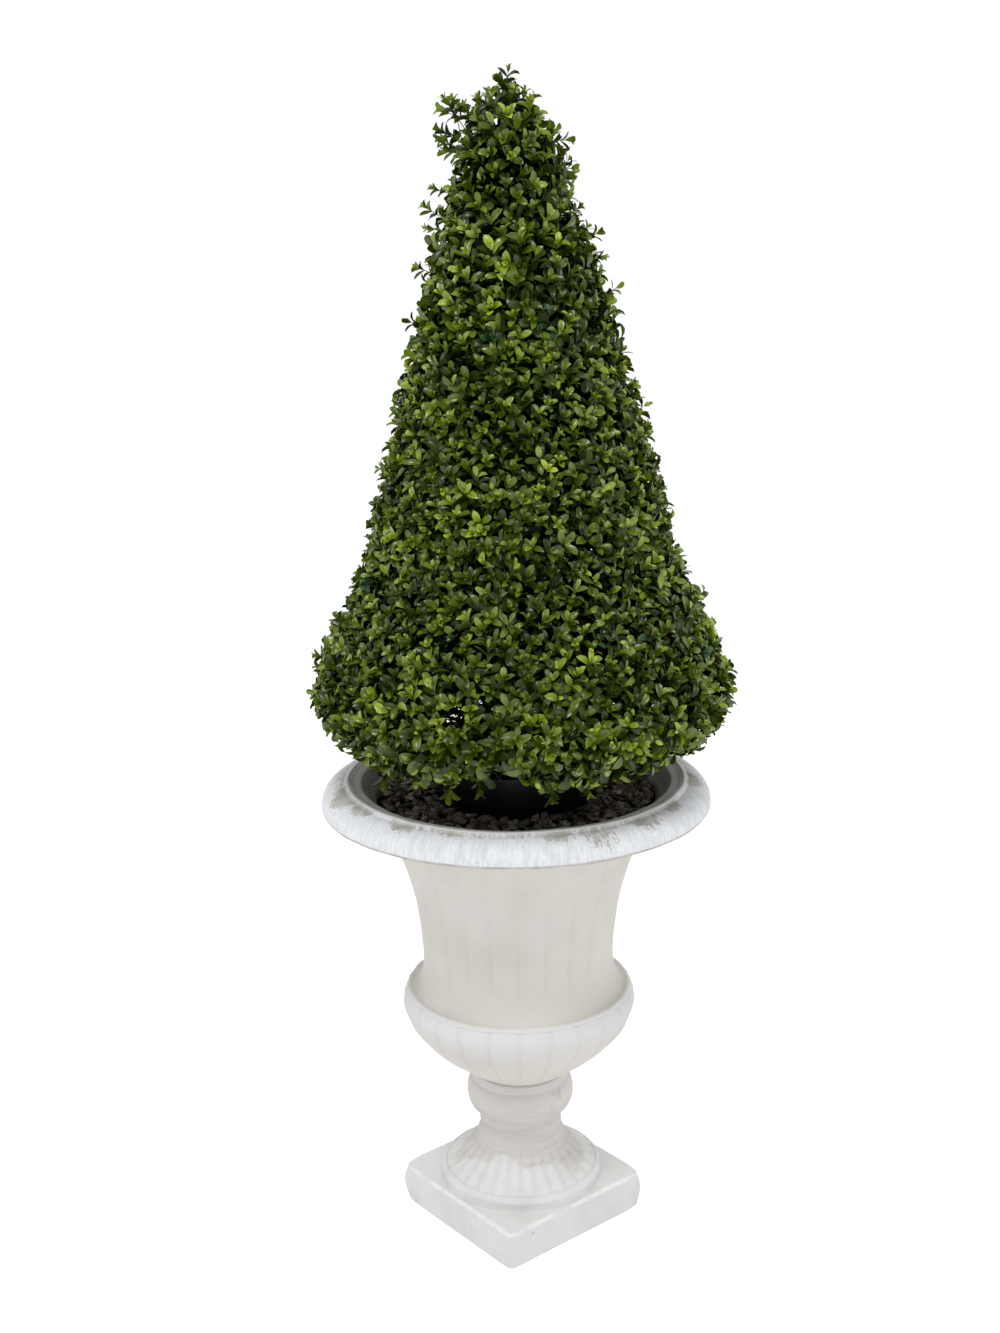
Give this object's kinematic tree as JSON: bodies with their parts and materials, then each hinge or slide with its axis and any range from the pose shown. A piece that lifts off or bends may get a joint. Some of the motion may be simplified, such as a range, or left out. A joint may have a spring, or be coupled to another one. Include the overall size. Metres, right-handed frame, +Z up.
{
  "type": "artificial boxwood cone topiary in an urn planter",
  "caption": "Artificial clipped boxwood cone with a flared skirt on a pole in a small black pot, bedded in gravel in a fluted classical urn on a square plinth.",
  "frame": {"origin": "middle of the flat underside of the square plinth", "axes": "+Z up along the urn's axis and the pole; X and Y along the plinth's sides"},
  "size_m": [0.5976, 0.5971, 1.6417],
  "materials": {
    "urn_stone": "matte",
    "gravel": "matte",
    "black_plastic": "satin",
    "foliage": "satin"
  },
  "bodies": {
    "root": {"urn_pedestal": "urn_stone", "urn_bowl": "urn_stone", "gravel_bed": "gravel", "inner_pot": "black_plastic", "pot_fill": "gravel", "stem": "black_plastic", "crown": "foliage"}
  },
  "joints": []
}
